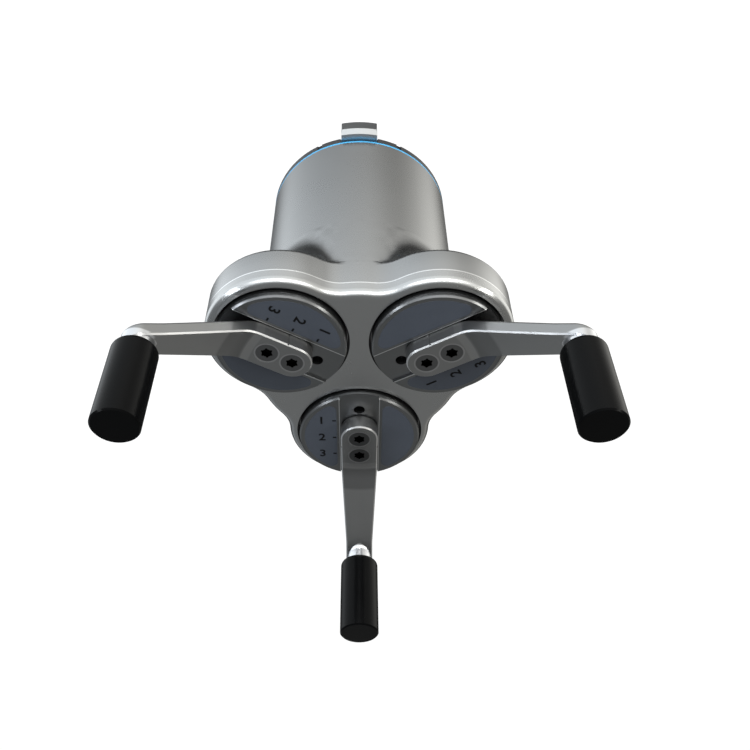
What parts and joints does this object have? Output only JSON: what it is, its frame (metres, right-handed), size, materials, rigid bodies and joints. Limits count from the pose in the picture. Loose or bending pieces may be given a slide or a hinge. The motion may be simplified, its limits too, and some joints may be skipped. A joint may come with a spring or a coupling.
{
  "type": "three jaw centric gripper",
  "caption": "Robot gripper with turning jaw discs, bent fingers and round tips that close on a centre, on a quick-change adapter with a flange bolt pattern.",
  "frame": {"origin": "centre of the adapter's mounting face, where it meets the robot flange", "axes": "+Z from the mounting face to the fingertips, +Y towards jaw a, -Y towards the release button"},
  "size_m": [0.1576, 0.1387, 0.18],
  "materials": {
    "housing_aluminium": "satin",
    "button_aluminium": "satin",
    "adapter_black": "satin black anodised",
    "ring_blue": "satin",
    "disc_dark": "satin, anodised dark grey",
    "label_blue_grey": "satin",
    "finger_dark": "satin, anodised dark grey",
    "screw_dark": "satin",
    "screw_steel": "satin",
    "gear_steel": "satin",
    "bearing_steel": "polished",
    "motor_steel": "satin",
    "bush_bronze": "satin",
    "contact_gold": "polished",
    "connector_black": "matt",
    "board_green": "satin",
    "seal_rubber": "matt",
    "sleeve_rubber": "satin"
  },
  "bodies": {
    "housing": {"adapter_plate": "adapter_black", "latch_cover_ring": "adapter_black", "contact_block": "connector_black", "contact_pins": "contact_gold", "contact_pad_board": "board_green", "coupling_plate": "housing_aluminium", "coupling_screws": "screw_steel", "sealing_ring": "ring_blue", "main_housing": "housing_aluminium", "cover_gasket": "seal_rubber", "front_cover": "housing_aluminium", "cover_screws": "screw_steel", "disc_seals": "seal_rubber", "disc_bearing_outer_rings": "bearing_steel", "pinion_bush": "bush_bronze", "motor_can": "motor_steel", "gearhead": "motor_steel", "gearhead_screws": "screw_steel", "encoder_board": "board_green", "control_board": "board_green", "board_standoffs": "screw_steel", "board_screws": "screw_steel", "latch_springs": "bearing_steel"},
    "jaw_a": {"jaw_a_disc": "disc_dark", "jaw_a_bearing_inner_ring": "bearing_steel", "jaw_a_gear": "gear_steel", "jaw_a_gear_screws": "screw_steel", "jaw_a_number_label": "label_blue_grey", "jaw_a_plain_label": "label_blue_grey", "jaw_a_finger": "finger_dark", "jaw_a_finger_screws": "screw_dark", "jaw_a_tip_core": "bearing_steel", "jaw_a_tip_sleeve": "sleeve_rubber"},
    "jaw_b": {"jaw_b_disc": "disc_dark", "jaw_b_bearing_inner_ring": "bearing_steel", "jaw_b_gear": "gear_steel", "jaw_b_gear_screws": "screw_steel", "jaw_b_number_label": "label_blue_grey", "jaw_b_plain_label": "label_blue_grey", "jaw_b_finger": "finger_dark", "jaw_b_finger_screws": "screw_dark", "jaw_b_tip_core": "bearing_steel", "jaw_b_tip_sleeve": "sleeve_rubber"},
    "jaw_c": {"jaw_c_disc": "disc_dark", "jaw_c_bearing_inner_ring": "bearing_steel", "jaw_c_gear": "gear_steel", "jaw_c_gear_screws": "screw_steel", "jaw_c_number_label": "label_blue_grey", "jaw_c_plain_label": "label_blue_grey", "jaw_c_finger": "finger_dark", "jaw_c_finger_screws": "screw_dark", "jaw_c_tip_core": "bearing_steel", "jaw_c_tip_sleeve": "sleeve_rubber"},
    "drive": {"drive_pinion": "gear_steel"},
    "latch": {"release_button": "button_aluminium", "latch_plate": "bearing_steel"}
  },
  "joints": [
    {"name": "jaw_a_turn", "type": "hinge", "parent": "housing", "child": "jaw_a", "pos_m": [0, 0.033, 0], "axis": [0, 0, 1], "range_deg": [0, 160]},
    {"name": "jaw_b_turn", "type": "hinge", "parent": "housing", "child": "jaw_b", "pos_m": [-0.02858, -0.0165, 0], "axis": [0, 0, 1], "range_deg": [0, 160]},
    {"name": "jaw_c_turn", "type": "hinge", "parent": "housing", "child": "jaw_c", "pos_m": [0.02858, -0.0165, 0], "axis": [0, 0, 1], "range_deg": [0, 160]},
    {"name": "pinion_spin", "type": "hinge", "parent": "housing", "child": "drive", "pos_m": [0, 0, 0], "axis": [0, 0, 1], "range_deg": [-343, 0]},
    {"name": "button_press", "type": "slide", "parent": "housing", "child": "latch", "axis": [0, 1, 0], "range_m": [0, 0.0019], "stiffness_N_per_m": 900, "deforming": ["latch_springs"]}
  ],
  "couplings": [
    {"joint": "jaw_b_turn", "follows": "jaw_a_turn", "ratio": 1},
    {"joint": "jaw_c_turn", "follows": "jaw_a_turn", "ratio": 1},
    {"joint": "pinion_spin", "follows": "jaw_a_turn", "ratio": -2.1429}
  ]
}
